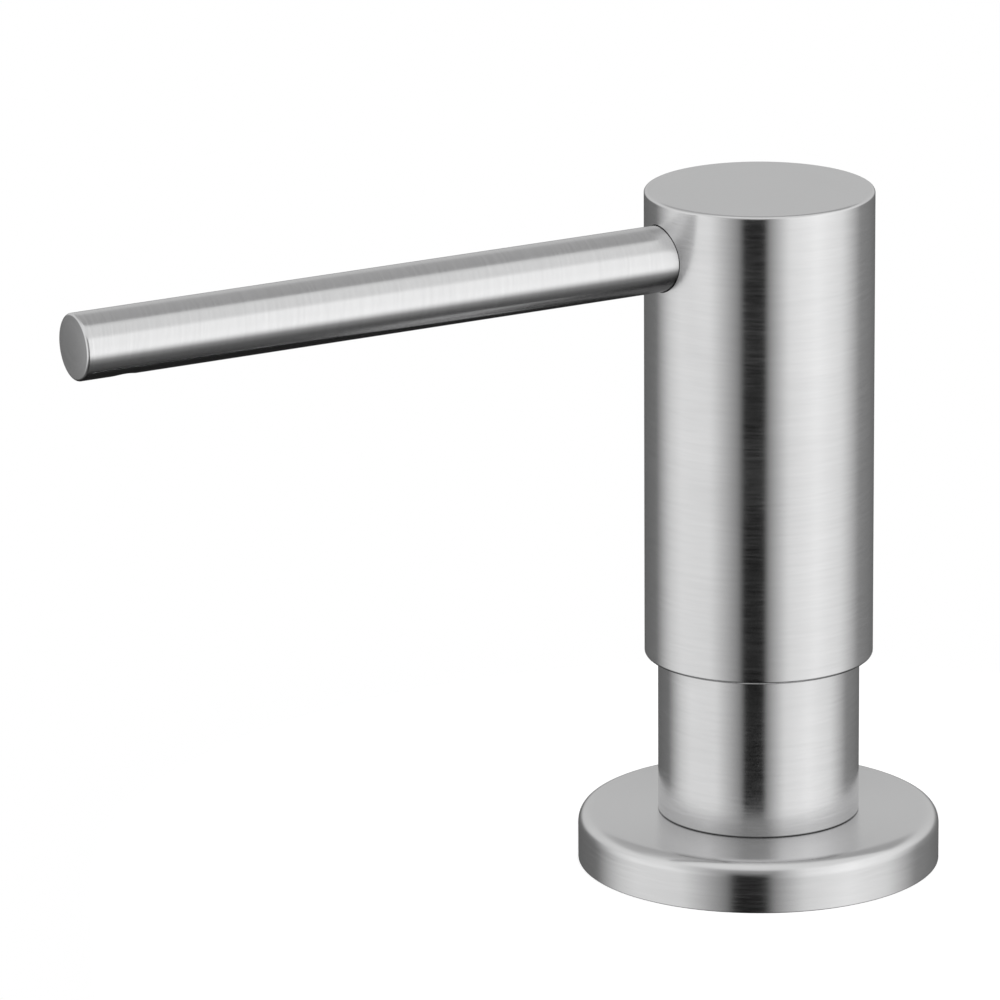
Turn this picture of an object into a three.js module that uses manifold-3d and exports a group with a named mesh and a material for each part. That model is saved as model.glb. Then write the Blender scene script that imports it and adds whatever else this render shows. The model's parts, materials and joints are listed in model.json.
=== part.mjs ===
// A deck-mounted soap pump dispenser: a straight cylindrical head with a rod-shaped spout slides on a
// fixed sleeve above the deck, and a threaded shank, a clamping nut and a screw-on bottle hang below it. A
// lotion pump stands in the shank and lifts out upwards for refilling.
//
// Frame: millimetres, +Z up, the origin on the main axis at the deck's top surface, the spout pointing
// along -Y.
import * as THREE from "three";
import { mergeVertices } from "three/addons/utils/BufferGeometryUtils.js";
import Module from "manifold-3d";

const wasm = await Module();
wasm.setup();

// ---------------------------------------------------------------- driving dimensions

// Threaded shank and what screws onto it
const THREAD_DIAMETER = 26;
const THREAD_PITCH = 4;
const THREAD_DEPTH = 1.1;
const THREAD_CREST = 0.8; // the ridge's width at its crest
const THREAD_FOOT = 2; // the ridge's width at its foot
const THREAD_CLEARANCE = 0.3; // between an inside thread and the shank's
const SHANK_WALL = 1.6; // below the thread's root
const SHANK_BELOW_DECK = 60;
const SHANK_SPIGOT = 24; // how far the shank reaches up inside the sleeve
const SHANK_NECK = 2; // the plain stretch above the thread
const END_CHAMFER = 1;

// Flange and its seal
const FLANGE_DIAMETER = 54;
const FLANGE_THICKNESS = 7.7;
const FLANGE_EDGE_RADIUS = 2;
const FLANGE_GASKET_WIDTH = 4;
const FLANGE_GASKET_DEPTH = 2.4;
const FLANGE_RIM = 3; // metal left outside the gasket's groove

// Clamping below the deck
const DECK_THICKNESS = 20; // the deck that the nut is set for
const WASHER_DIAMETER = 44;
const RUBBER_WASHER_THICKNESS = 3;
const STEEL_WASHER_THICKNESS = 1.5;
const NUT_HEIGHT = 12;
const NUT_HUB_WALL = 3.6;
const NUT_FLANGE_THICKNESS = 3;
const NUT_WINGS = 4;
const NUT_WING_THICKNESS = 4;
const NUT_WING_INSET = 1; // of the wings inside the nut's flange

// Sleeve, head and what runs between them
const SLEEVE_WALL = 1.8;
const SLEEVE_FIT = 0.2; // between the shank's spigot and the sleeve's bore
const BAND_THICKNESS = 0.5;
const BAND_CLEARANCE = 0.2;
const BAND_HEIGHT = 8;
const BAND_INSET = 3; // from the head's lower edge
const HEAD_WALL = 1.3;
const HEAD_TOP_WALL = 2.5;
const HEAD_LENGTH = 71;
const HEAD_EDGE = 0.3;
const STROKE = 18;
const PRESSED_GAP = 6.3; // left between the head and the flange with the head pressed down
const CORE_GAP = 0.8; // left between the core and the pump's collar with the head pressed down

// Spout
const SPOUT_DIAMETER = 9.8;
const SPOUT_WALL = 0.8;
const SPOUT_FALL = 0.5; // how far it slopes down on its way out, in degrees
const SPOUT_REACH = 111.5; // from the main axis to the spout's end face
const SPOUT_ROOT = 8; // from the main axis to the tube's inner end
const SPOUT_HOLE_GAP = 0.25; // between the tube and the hole in the head
const SPOUT_EDGE = 0.25; // the end face's chamfer
const END_CAP_THICKNESS = 1;
const END_CAP_SPIGOT = 3;
const LINER_DIAMETER = 5;
const LINER_BORE = 3;
const LINER_GRIP = 3; // how far the liner stands in what it joins
const OUTLET_INSET = 7; // from the spout's end face to the outlet's centre
const OUTLET_DIAMETER = 4.6;
const OUTLET_RECESS = 0.6; // of the nozzle inside the tube's underside
const NOZZLE_GRIP = 2.4; // how far the nozzle stands in the elbow
const ELBOW_LENGTH = 9;

// Core: the moulding in the head that joins the stem to the spout
const CORE_COVER = 0.9; // above the spout
const CORE_FLOOR = 1.2; // below the spout
const BOSS_LENGTH = 10;
const BOSS_DIAMETER = 15;
const CHAMBER_BELOW = 2.7; // the valve chamber, from the spout's axis down to the stem's top
const CHAMBER_ABOVE = 3.3;
const CHAMBER_DIAMETER = 6.4;

// Pump
const STEM_DIAMETER = 7.2;
const STEM_BORE = 4;
const PUMP_CLEARANCE = 2; // between the cylinder and the shank's bore
const CYLINDER_WALL = 1.3;
const RIM_OVERHANG = 2.2; // of the cylinder's and the guide's rims beyond the cylinder's wall
const RIM_THICKNESS = 1.2;
const COLLAR_LIP = 1.2;
const COLLAR_LIP_INSET = 0.6; // of the lip inside the sleeve's outside
const COLLAR_SPIGOT = 12;
const GUIDE_LENGTH = 7;
const PISTON_HEIGHT = 7;
const PISTON_CLEARANCE = 0.12;
const PISTON_WAIST = 0.5; // how much narrower the seal is between its lips
const PISTON_LIP = 0.6;
const RETAINER_HEIGHT = 5;
const RETAINER_GRIP = 3; // how far the stem stands in the retainer
const RETAINER_WALL = 0.8;
const RETAINER_FLANGE = 1;
const SPRING_WIRE = 1;
const SPRING_TURNS = 7;
const SPRING_CLEARANCE = 1.2; // between the spring and the cylinder's bore
const SPRING_SPARE = 3; // the spring's length beyond its closed length with the head pressed down
const CAGE_THICKNESS = 1.5;
const CAGE_SLOT = 1;
const INLET_BALL_DIAMETER = 5.8;
const OUTLET_BALL_DIAMETER = 5;
const BALL_LIFT = 1.5;
const BALL_SEAT_GAP = 0.1;
const VALVE_SPARE = 0.4; // above a ball at the top of its lift
const SOCKET_DEPTH = 10;
const SOCKET_WALL = 1.5;
const SOCKET_FLOOR = 1.2;

// Dip tube and bottle
const TUBE_DIAMETER = 6;
const TUBE_BORE = 4;
const TUBE_FLOOR_GAP = 4; // between the tube's tip and the bottle's floor
const TUBE_TIP_ANGLE = 35; // degrees, the slant of the tube's cut
const BOTTLE_DIAMETER = 74;
const BOTTLE_HEIGHT = 150;
const BOTTLE_WALL = 1.6;
const BOTTLE_GRIP = 15; // how far the bottle screws onto the shank
const BOTTLE_NECK_WALL = 3;
const BOTTLE_NECK_LENGTH = 19;
const BOTTLE_SHOULDER_RADIUS = 14;
const BOTTLE_FOOT_RADIUS = 6;
const BOTTLE_GASKET_THICKNESS = 1.5;
const BOTTLE_PUSH_UP = 2.5; // the base's hollow

// Seals and fits
const ORING_SECTION = 2;
const PRESS_FIT = 0.1; // between pressed or glued pieces
const STEM_FIT = 0.15; // between the stem and what it passes through
const HOLE_FIT = 0.3; // between the shank and what goes over it
const VALVE_FIT = 0.6; // round the inlet ball in its chamber
const SWIVEL_GAP = 0.1; // between the stem's end and the core

const ROUND = 36; // sides of a large turned piece
const SMALL_ROUND = 20; // sides of a small one
const TINY_ROUND = 16;
const THREAD_ROUND = 20; // sides of the threaded pieces, and steps in one turn of the thread
const SPRING_SIDES = 6; // of the spring's wire

// ---------------------------------------------------------------- places worked out from them

const threadRadius = THREAD_DIAMETER / 2;
const sleeveBore = threadRadius + SLEEVE_FIT;
const sleeveRadius = sleeveBore + SLEEVE_WALL;
const bandInner = sleeveRadius + BAND_CLEARANCE;
const headBore = bandInner + BAND_THICKNESS;
const headRadius = headBore + HEAD_WALL;
const spoutRadius = SPOUT_DIAMETER / 2;
const stemRadius = STEM_DIAMETER / 2;
const shankBore = threadRadius - THREAD_DEPTH - SHANK_WALL;
const cylinderRadius = shankBore - PUMP_CLEARANCE;
const cylinderBore = cylinderRadius - CYLINDER_WALL;
const springRadius = cylinderBore - SPRING_CLEARANCE - SPRING_WIRE / 2; // to the middle of the wire
const rimRadius = cylinderRadius + RIM_OVERHANG;
const tubeRadius = TUBE_DIAMETER / 2;

const headBottom = FLANGE_THICKNESS + PRESSED_GAP + STROKE;
const headTop = headBottom + HEAD_LENGTH;
const coreTop = headTop - HEAD_TOP_WALL;
const spoutZ = coreTop - CORE_COVER - spoutRadius;
const discBottom = spoutZ - spoutRadius - CORE_FLOOR;
const coreBottom = discBottom - BOSS_LENGTH;
const collarTop = coreBottom - STROKE - CORE_GAP;
const sleeveTop = collarTop - COLLAR_LIP;
const stemTop = spoutZ - CHAMBER_BELOW;
const chamberTop = spoutZ + CHAMBER_ABOVE;

const guideRimBottom = collarTop - RIM_THICKNESS;
const cylinderTop = guideRimBottom;
const cylinderRimBottom = cylinderTop - RIM_THICKNESS;
const guideBottom = guideRimBottom - GUIDE_LENGTH;
const pistonTop = guideBottom - BALL_SEAT_GAP;
const pistonBottom = pistonTop - PISTON_HEIGHT;
const retainerBottom = pistonBottom - RETAINER_HEIGHT;
const stemBottom = pistonBottom - RETAINER_GRIP;
const springLength = STROKE + SPRING_TURNS * SPRING_WIRE + SPRING_SPARE;
const cageTop = retainerBottom - springLength;
const cageBottom = cageTop - CAGE_THICKNESS;

// How far a ball's centre stands above the round edge that it rests on.
const seatHeight = (ball, hole) => Math.sqrt((ball / 2) ** 2 - (hole / 2) ** 2) + BALL_SEAT_GAP;
const inletRise = seatHeight(INLET_BALL_DIAMETER, TUBE_BORE);
const inletSeat = cageBottom - VALVE_SPARE - BALL_LIFT - INLET_BALL_DIAMETER / 2 - inletRise;
const outletRise = seatHeight(OUTLET_BALL_DIAMETER, STEM_BORE);
const valveBore = INLET_BALL_DIAMETER / 2 + VALVE_FIT;
const socketTop = inletSeat - SOCKET_FLOOR;
const socketBottom = socketTop - SOCKET_DEPTH;

// Along the spout, from the main axis outwards.
const capReach = SPOUT_REACH - END_CAP_THICKNESS;
const capSpigotReach = capReach - END_CAP_SPIGOT;
const outletReach = SPOUT_REACH - OUTLET_INSET;
const elbowReach = capSpigotReach - ELBOW_LENGTH;
const nozzleTop = spoutRadius - OUTLET_RECESS - NOZZLE_GRIP; // below the spout's axis

const shankBottom = -SHANK_BELOW_DECK;
const bottleTop = shankBottom + BOTTLE_GRIP;
const bottleLedge = shankBottom - BOTTLE_GASKET_THICKNESS;
const bottleBottom = bottleTop - BOTTLE_HEIGHT;
const tubeBottom = bottleBottom + BOTTLE_PUSH_UP + BOTTLE_WALL + TUBE_FLOOR_GAP;

const rubberTop = -DECK_THICKNESS;
const steelTop = rubberTop - RUBBER_WASHER_THICKNESS;
const nutTop = steelTop - STEEL_WASHER_THICKNESS;
const nutBottom = nutTop - NUT_HEIGHT;

// ---------------------------------------------------------------- materials

const finish = (color, roughness, metalness, more = {}) =>
  new THREE.MeshStandardMaterial({ color, roughness, metalness, ...more });
const brushedSteel = finish(0xb9b9ba, 0.32, 1);
const brightSteel = finish(0xc6c8ca, 0.15, 1);
const springSteel = finish(0xa9acb0, 0.25, 1);
const blackRubber = finish(0x1b1b1c, 0.85, 0);
const blackPlastic = finish(0x232426, 0.5, 0);
const whitePlastic = finish(0xe9e9e6, 0.45, 0);
const greyPlastic = finish(0xb4b7b9, 0.5, 0);
const naturalPlastic = finish(0xe6ebee, 0.3, 0, { transparent: true, opacity: 0.55 });

// ---------------------------------------------------------------- making solids

// A closed geometry as a solid that can be joined and cut.
function solid(geometry) {
  const bare = geometry.clone();
  bare.deleteAttribute("normal");
  bare.deleteAttribute("uv");
  const merged = mergeVertices(bare);
  return new wasm.Manifold(
    new wasm.Mesh({
      numProp: 3,
      vertProperties: merged.attributes.position.array,
      triVerts: new Uint32Array(merged.index.array),
    }),
  );
}

// The solid's surface as a geometry.
function surface(body) {
  const { vertProperties, triVerts } = body.getMesh();
  return new THREE.BufferGeometry()
    .setAttribute("position", new THREE.BufferAttribute(vertProperties, 3))
    .setIndex(new THREE.BufferAttribute(triVerts, 1));
}

const cut = (geometry, ...tools) =>
  surface(tools.reduce((body, tool) => body.subtract(solid(tool)), solid(geometry)));

// Turns an outline about +Z. Its points are [radius, height], upwards on the outside, and it is closed
// here unless it starts and ends on the axis.
function turned(outline, sides = ROUND) {
  const points = outline.map(([radius, height]) => new THREE.Vector2(radius, height));
  if (points[0].x > 0) points.push(points[0].clone());
  return new THREE.LatheGeometry(points, sides).rotateX(Math.PI / 2);
}

const rod = (radius, low, high, sides = ROUND) =>
  turned([[0, low], [radius, low], [radius, high], [0, high]], sides);

const ring = (inner, outer, low, high, sides = ROUND) =>
  turned([[inner, low], [outer, low], [outer, high], [inner, high]], sides);

// Points of a round corner in an outline, from one angle to another in degrees: 0 points outwards and 90
// up.
function corner(centreRadius, centreHeight, radius, from, to, steps = 4) {
  return Array.from({ length: steps + 1 }, (_, i) => {
    const angle = THREE.MathUtils.degToRad(from + ((to - from) * i) / steps);
    return [centreRadius + radius * Math.cos(angle), centreHeight + radius * Math.sin(angle)];
  });
}

// A round seal whose section has six sides.
const oRing = (middleRadius, middleHeight, sides) =>
  turned(corner(middleRadius, middleHeight, ORING_SECTION / 2, -120, 180, 5), sides);

const ball = (diameter) => new THREE.SphereGeometry(diameter / 2, TINY_ROUND, TINY_ROUND / 2);

// A helix about +Z between two heights. Helices of one pitch are all in step.
class Helix extends THREE.Curve {
  constructor(radius, low, high, pitch) {
    super();
    Object.assign(this, { radius, low, high, pitch });
  }

  getPoint(t, target = new THREE.Vector3()) {
    const height = THREE.MathUtils.lerp(this.low, this.high, t);
    const angle = (2 * Math.PI * height) / this.pitch;
    return target.set(this.radius * Math.cos(angle), this.radius * Math.sin(angle), height);
  }

  // Frames that keep a section's x axis pointing away from the helix's axis all the way.
  computeFrenetFrames(steps) {
    const frames = { tangents: [], normals: [], binormals: [] };
    for (let i = 0; i <= steps; i++) {
      const tangent = this.getTangentAt(i / steps);
      const normal = this.getPointAt(i / steps).setZ(0).normalize();
      frames.tangents.push(tangent);
      frames.normals.push(normal);
      frames.binormals.push(tangent.clone().cross(normal));
    }
    return frames;
  }
}

// A rod with a thread, a turn longer at each end than asked. growth widens it on every side, for cutting
// an inside thread that stays clear of the shank's.
function threadedRod(low, high, growth = 0) {
  const root = threadRadius - THREAD_DEPTH;
  const firstTurn = Math.floor(low / THREAD_PITCH) - 1;
  const lastTurn = Math.ceil(high / THREAD_PITCH) + 1;
  const bottom = firstTurn * THREAD_PITCH;
  const top = lastTurn * THREAD_PITCH;
  const crest = THREAD_CREST / 2 + growth;
  const foot = THREAD_FOOT / 2 + growth;
  const rooted = foot + (foot - crest) / 2;
  const outline = [
    [-THREAD_DEPTH / 2, -rooted],
    [THREAD_DEPTH + growth, -crest],
    [THREAD_DEPTH + growth, crest],
    [-THREAD_DEPTH / 2, rooted],
  ];
  const section = new THREE.Shape(outline.map((point) => new THREE.Vector2(...point)));
  const ridge = new THREE.ExtrudeGeometry(section, {
    steps: (lastTurn - firstTurn) * THREAD_ROUND,
    extrudePath: new Helix(root, bottom, top, THREAD_PITCH),
  });
  const core = rod(root + growth, bottom - THREAD_PITCH, top + THREAD_PITCH, THREAD_ROUND);
  return solid(core).add(solid(ridge));
}

// ---------------------------------------------------------------- the deck fixture

function flange() {
  const outside = FLANGE_DIAMETER / 2;
  const inside = threadRadius + HOLE_FIT;
  const grooveOuter = outside - FLANGE_RIM;
  const grooveInner = grooveOuter - FLANGE_GASKET_WIDTH;
  const edge = FLANGE_EDGE_RADIUS;
  return turned([
    [inside, 0],
    [grooveInner, 0],
    [grooveInner, FLANGE_GASKET_DEPTH],
    [grooveOuter, FLANGE_GASKET_DEPTH],
    [grooveOuter, 0],
    [outside, 0],
    ...corner(outside - edge, FLANGE_THICKNESS - edge, edge, 0, 90),
    [inside, FLANGE_THICKNESS],
  ]);
}

function flangeGasket() {
  const outer = FLANGE_DIAMETER / 2 - FLANGE_RIM - PRESS_FIT;
  const inner = outer - FLANGE_GASKET_WIDTH + 2 * PRESS_FIT;
  return ring(inner, outer, 0, FLANGE_GASKET_DEPTH);
}

// The shank is threaded below the deck and plain above it, where the sleeve goes over it. A short neck
// divides them.
function shank() {
  const top = FLANGE_THICKNESS + SHANK_SPIGOT;
  const neck = threadRadius - THREAD_DEPTH - PRESS_FIT;
  const wide = THREAD_DIAMETER;
  const trim = turned([
    [0, shankBottom],
    [threadRadius - END_CHAMFER, shankBottom],
    [wide, shankBottom + wide - threadRadius + END_CHAMFER],
    [wide, -SHANK_NECK],
    [0, -SHANK_NECK],
  ]);
  const plainPart = turned(
    [
      [0, -2 * SHANK_NECK],
      [neck, -2 * SHANK_NECK],
      [neck, 0],
      [threadRadius, 0],
      [threadRadius, top - END_CHAMFER],
      [threadRadius - END_CHAMFER, top],
      [0, top],
    ],
    THREAD_ROUND,
  );
  const bore = rod(shankBore, shankBottom - END_CHAMFER, top + END_CHAMFER, THREAD_ROUND);
  const thread = threadedRod(shankBottom, -SHANK_NECK).intersect(solid(trim));
  return surface(thread.add(solid(plainPart)).subtract(solid(bore)));
}

function sleeve() {
  return turned([
    [sleeveBore, FLANGE_THICKNESS],
    [sleeveRadius, FLANGE_THICKNESS],
    [sleeveRadius, sleeveTop - HEAD_EDGE],
    [sleeveRadius - HEAD_EDGE, sleeveTop],
    [sleeveBore, sleeveTop],
  ]);
}

const washer = (top, thickness) => ring(threadRadius + HOLE_FIT, WASHER_DIAMETER / 2, top - thickness, top);

function mountingNut() {
  const hub = threadRadius + THREAD_CLEARANCE + NUT_HUB_WALL;
  const rim = WASHER_DIAMETER / 2;
  const blank = turned(
    [
      [0, nutBottom],
      [hub, nutBottom],
      [hub, nutTop - NUT_FLANGE_THICKNESS],
      [rim, nutTop - NUT_FLANGE_THICKNESS],
      [rim, nutTop],
      [0, nutTop],
    ],
    ROUND,
  );
  const wingHeight = NUT_HEIGHT - NUT_FLANGE_THICKNESS / 2;
  const wingReach = rim - NUT_WING_INSET - threadRadius;
  let nut = solid(blank);
  for (let k = 0; k < NUT_WINGS; k++) {
    const wing = new THREE.BoxGeometry(wingReach, NUT_WING_THICKNESS, wingHeight)
      .translate(threadRadius + wingReach / 2, 0, nutBottom + wingHeight / 2)
      .rotateZ((2 * Math.PI * (k + 0.5)) / NUT_WINGS);
    nut = nut.add(solid(wing));
  }
  return surface(nut.subtract(threadedRod(nutBottom, nutTop, THREAD_CLEARANCE)));
}

// ---------------------------------------------------------------- the bottle

function bottle() {
  const outside = BOTTLE_DIAMETER / 2;
  const neck = threadRadius + THREAD_CLEARANCE + BOTTLE_NECK_WALL;
  const mouth = shankBore;
  const shoulder = bottleTop - BOTTLE_NECK_LENGTH;
  const wall = BOTTLE_WALL;
  const [bend, foot] = [BOTTLE_SHOULDER_RADIUS, BOTTLE_FOOT_RADIUS];
  const hollow = bottleBottom + BOTTLE_PUSH_UP;
  const hollowRadius = outside - 3 * foot;
  const blank = turned(
    [
      [0, hollow],
      [hollowRadius, hollow],
      [hollowRadius + foot, bottleBottom],
      ...corner(outside - foot, bottleBottom + foot, foot, -90, 0, 3),
      ...corner(outside - bend, shoulder - bend, bend, 0, 90, 3),
      [neck, shoulder],
      [neck, bottleTop],
      [mouth, bottleTop],
      [mouth, shoulder - wall],
      ...corner(outside - bend, shoulder - bend, bend - wall, 90, 0, 3),
      ...corner(outside - foot, bottleBottom + foot, foot - wall, 0, -90, 3),
      [hollowRadius + foot, bottleBottom + wall],
      [hollowRadius, hollow + wall],
      [0, hollow + wall],
    ],
    SMALL_ROUND,
  );
  const thread = threadedRod(bottleLedge, bottleTop, THREAD_CLEARANCE);
  const aboveLedge = solid(rod(neck, bottleLedge, bottleTop + THREAD_PITCH, SMALL_ROUND));
  return surface(solid(blank).subtract(thread.intersect(aboveLedge)));
}

const bottleGasket = () =>
  ring(shankBore, threadRadius - END_CHAMFER, bottleLedge, shankBottom, SMALL_ROUND);

// ---------------------------------------------------------------- the pump cartridge

// The collar hangs the pump on the sleeve's upper edge. A recess in it holds the rims of the cylinder and
// the guide.
function pumpCollar() {
  const outer = sleeveBore - STEM_FIT;
  const lip = sleeveRadius - COLLAR_LIP_INSET;
  const bore = cylinderRadius + PRESS_FIT;
  const recess = rimRadius + PRESS_FIT;
  const grooveMiddle = sleeveTop - COLLAR_SPIGOT / 2;
  const grooveHalf = ORING_SECTION / 2 + PRESS_FIT;
  const groove = sleeveBore - ORING_SECTION - PRESS_FIT;
  return turned([
    [bore, sleeveTop - COLLAR_SPIGOT],
    [outer, sleeveTop - COLLAR_SPIGOT],
    [outer, grooveMiddle - grooveHalf],
    [groove, grooveMiddle - grooveHalf],
    [groove, grooveMiddle + grooveHalf],
    [outer, grooveMiddle + grooveHalf],
    [outer, sleeveTop],
    [lip, sleeveTop],
    [lip, collarTop],
    [recess, collarTop],
    [recess, cylinderRimBottom],
    [bore, cylinderRimBottom],
  ]);
}

const collarOring = () =>
  oRing(sleeveBore - (ORING_SECTION + PRESS_FIT) / 2, sleeveTop - COLLAR_SPIGOT / 2, ROUND);

// From below: the dip tube's socket, the inlet ball's seat and chamber, the working bore, and the rim.
function pumpCylinder() {
  const socketBore = tubeRadius + PRESS_FIT;
  const socketRadius = socketBore + SOCKET_WALL;
  const floor = cageBottom - CYLINDER_WALL;
  const inlet = TUBE_BORE / 2;
  return turned(
    [
      [socketBore, socketBottom],
      [socketRadius, socketBottom],
      [socketRadius, floor - (cylinderRadius - socketRadius)],
      [cylinderRadius, floor],
      [cylinderRadius, cylinderRimBottom],
      [rimRadius, cylinderRimBottom],
      [rimRadius, cylinderTop],
      [cylinderBore, cylinderTop],
      [cylinderBore, cageBottom],
      [valveBore, cageBottom],
      [valveBore, inletSeat + valveBore - inlet],
      [inlet, inletSeat],
      [inlet, socketTop],
      [socketBore, socketTop],
    ],
    SMALL_ROUND,
  );
}

function stemGuide() {
  const bore = stemRadius + STEM_FIT;
  const plug = cylinderBore - PRESS_FIT;
  return turned(
    [
      [bore, guideBottom],
      [plug, guideBottom],
      [plug, guideRimBottom],
      [rimRadius, guideRimBottom],
      [rimRadius, collarTop],
      [bore, collarTop],
    ],
    SMALL_ROUND,
  );
}

// A disc under the spring that keeps the inlet ball in. Soap passes through its hole and its crossed slots.
function inletCage() {
  const disc = ring(INLET_BALL_DIAMETER / 4, cylinderBore - PRESS_FIT, cageBottom, cageTop, SMALL_ROUND);
  const slot = new THREE.BoxGeometry(2 * valveBore, CAGE_SLOT, 2 * CAGE_THICKNESS).translate(0, 0, cageTop);
  return cut(disc, slot, slot.clone().rotateZ(Math.PI / 2), slot.translate(0, 0, -CAGE_THICKNESS));
}

function returnSpring() {
  const low = cageTop + SPRING_WIRE / 2 + PRESS_FIT;
  const high = retainerBottom - SPRING_WIRE / 2 - PRESS_FIT;
  return new THREE.ExtrudeGeometry(new THREE.Shape().absarc(0, 0, SPRING_WIRE / 2, 0, 2 * Math.PI), {
    steps: SPRING_TURNS * TINY_ROUND,
    curveSegments: SPRING_SIDES / 2,
    extrudePath: new Helix(springRadius, low, high, (high - low) / SPRING_TURNS),
  });
}

// A straight tube whose tip is cut on the slant so that it can't seal against the bottle's floor.
function dipTube() {
  const tube = ring(TUBE_BORE / 2, tubeRadius, tubeBottom, socketTop - PRESS_FIT, TINY_ROUND);
  const slant = THREE.MathUtils.degToRad(TUBE_TIP_ANGLE);
  const side = 4 * TUBE_DIAMETER;
  const waste = new THREE.BoxGeometry(side, side, side)
    .translate(0, 0, -side / 2)
    .rotateX(slant)
    .translate(0, 0, tubeBottom + tubeRadius * Math.tan(slant));
  return cut(tube, waste);
}

// ---------------------------------------------------------------- the plunger

const pumpStem = () => ring(STEM_BORE / 2, stemRadius, stemBottom, stemTop, SMALL_ROUND);

// A cup seal with one lip upwards and one downwards, gripping the stem.
function pistonSeal() {
  const hub = stemRadius + PRESS_FIT;
  const lip = cylinderBore - PISTON_CLEARANCE;
  const waist = lip - PISTON_WAIST;
  const slope = PISTON_HEIGHT / 3;
  return turned(
    [
      [hub, pistonBottom],
      [waist - PISTON_LIP, pistonBottom],
      [waist - PISTON_LIP, pistonBottom + slope],
      [lip - PISTON_LIP, pistonBottom],
      [lip, pistonBottom],
      [waist, pistonBottom + slope],
      [waist, pistonTop - slope],
      [lip, pistonTop],
      [hub, pistonTop],
    ],
    SMALL_ROUND,
  );
}

function pistonRetainer() {
  const outer = springRadius + SPRING_WIRE / 2;
  const grip = stemRadius + PRESS_FIT;
  return turned(
    [
      [STEM_BORE / 2, retainerBottom],
      [outer, retainerBottom],
      [outer, retainerBottom + RETAINER_FLANGE],
      [grip + RETAINER_WALL, retainerBottom + RETAINER_FLANGE],
      [grip + RETAINER_WALL, pistonBottom],
      [grip, pistonBottom],
      [grip, stemBottom],
      [STEM_BORE / 2, stemBottom],
    ],
    SMALL_ROUND,
  );
}

// ---------------------------------------------------------------- the head

function headShell() {
  const edge = HEAD_EDGE;
  const shell = turned([
    [0, coreTop],
    [headBore, coreTop],
    [headBore, headBottom],
    [headRadius - edge, headBottom],
    [headRadius, headBottom + edge],
    ...corner(headRadius - edge, headTop - edge, edge, 0, 90, 1),
    [0, headTop],
  ]);
  return cut(shell, acrossHead(rod(spoutRadius + SPOUT_HOLE_GAP, SPOUT_ROOT, 2 * headRadius, SMALL_ROUND)));
}

const guideBand = () =>
  ring(bandInner, headBore - PRESS_FIT, headBottom + BAND_INSET, headBottom + BAND_INSET + BAND_HEIGHT);

// The moulding that fills the head's upper end. The stem stands in its boss, the outlet ball's chamber is
// above the stem, and a channel leads from the chamber to the spout.
function headCore() {
  const outer = headBore - PRESS_FIT;
  const socket = stemRadius + STEM_FIT;
  const groove = socket + ORING_SECTION;
  const grooveMiddle = coreBottom + BOSS_LENGTH / 2;
  const grooveHalf = ORING_SECTION / 2 + PRESS_FIT;
  const body = turned([
    [0, chamberTop],
    [CHAMBER_DIAMETER / 2, chamberTop],
    [CHAMBER_DIAMETER / 2, stemTop + SWIVEL_GAP],
    [socket, stemTop + SWIVEL_GAP],
    [socket, grooveMiddle + grooveHalf],
    [groove, grooveMiddle + grooveHalf],
    [groove, grooveMiddle - grooveHalf],
    [socket, grooveMiddle - grooveHalf],
    [socket, coreBottom],
    [BOSS_DIAMETER / 2, coreBottom],
    [BOSS_DIAMETER / 2, discBottom],
    [outer, discBottom],
    [outer, coreTop - PRESS_FIT],
    [0, coreTop - PRESS_FIT],
  ]);
  const tubeHole = rod(spoutRadius + PRESS_FIT, SPOUT_ROOT, 2 * headRadius, SMALL_ROUND);
  const linerHole = rod(LINER_DIAMETER / 2 + PRESS_FIT, SPOUT_ROOT - LINER_GRIP, 2 * SPOUT_ROOT, SMALL_ROUND);
  const channel = rod(LINER_BORE / 2, 0, SPOUT_ROOT, TINY_ROUND);
  return cut(body, ...[tubeHole, linerHole, channel].map(acrossHead));
}

const coreOring = () =>
  oRing(stemRadius + PRESS_FIT + ORING_SECTION / 2, coreBottom + BOSS_LENGTH / 2, SMALL_ROUND);

// ---------------------------------------------------------------- the spout

// These pieces are made along +Z from the main axis outwards, with the underside towards -Y. The spout's
// group lays them down.
const layDown = Math.PI / 2 + THREE.MathUtils.degToRad(SPOUT_FALL);

// The same move for a piece that cuts the head.
function acrossHead(geometry) {
  return geometry.rotateX(layDown).translate(0, 0, spoutZ);
}

// A rod from the spout's axis downwards at the outlet.
const outletRod = (radius, from, to, sides = SMALL_ROUND) =>
  rod(radius, from, to, sides).rotateX(Math.PI / 2).translate(0, 0, outletReach);

function spoutTube() {
  const tube = ring(spoutRadius - SPOUT_WALL, spoutRadius, SPOUT_ROOT + PRESS_FIT, capReach, SMALL_ROUND);
  return cut(tube, outletRod(OUTLET_DIAMETER / 2 + PRESS_FIT, 0, SPOUT_DIAMETER));
}

function spoutCap() {
  const spigot = spoutRadius - SPOUT_WALL - PRESS_FIT;
  return turned(
    [
      [0, capSpigotReach],
      [spigot, capSpigotReach],
      [spigot, capReach],
      [spoutRadius, capReach],
      [spoutRadius, SPOUT_REACH - SPOUT_EDGE],
      [spoutRadius - SPOUT_EDGE, SPOUT_REACH],
      [0, SPOUT_REACH],
    ],
    SMALL_ROUND,
  );
}

function spoutLiner() {
  const start = SPOUT_ROOT - LINER_GRIP + PRESS_FIT;
  const end = elbowReach + LINER_GRIP - PRESS_FIT;
  return ring(LINER_BORE / 2, LINER_DIAMETER / 2, start, end, TINY_ROUND);
}

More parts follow.
